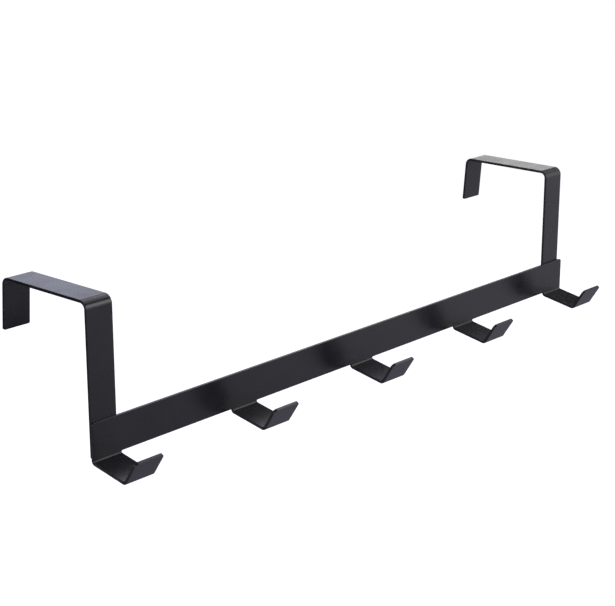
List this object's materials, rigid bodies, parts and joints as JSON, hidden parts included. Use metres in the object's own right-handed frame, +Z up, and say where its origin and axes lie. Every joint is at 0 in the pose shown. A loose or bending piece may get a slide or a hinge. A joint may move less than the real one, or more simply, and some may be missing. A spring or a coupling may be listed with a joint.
{
  "type": "over door hook",
  "caption": "Over door coat rack: a folded steel rail with hooks bent from its own sheet, welded to straps that fold over the top of a door.",
  "frame": {"origin": "on the door's top front edge, level with the middle of the rail: y = 0 is the door's front face, where the straps' front legs lie, and z = 0 is the top of the door, where the straps rest", "axes": "+X along the rail, to the right for someone who faces the hooks, +Y through the door from the hook side to the far side, +Z up"},
  "size_m": [0.3, 0.0738, 0.0647],
  "materials": {
    "powder_coated_steel": "satin black powder coat on sheet steel"
  },
  "bodies": {
    "root": {"hook_rail": "powder_coated_steel", "left_door_strap": "powder_coated_steel", "right_door_strap": "powder_coated_steel"}
  },
  "joints": []
}
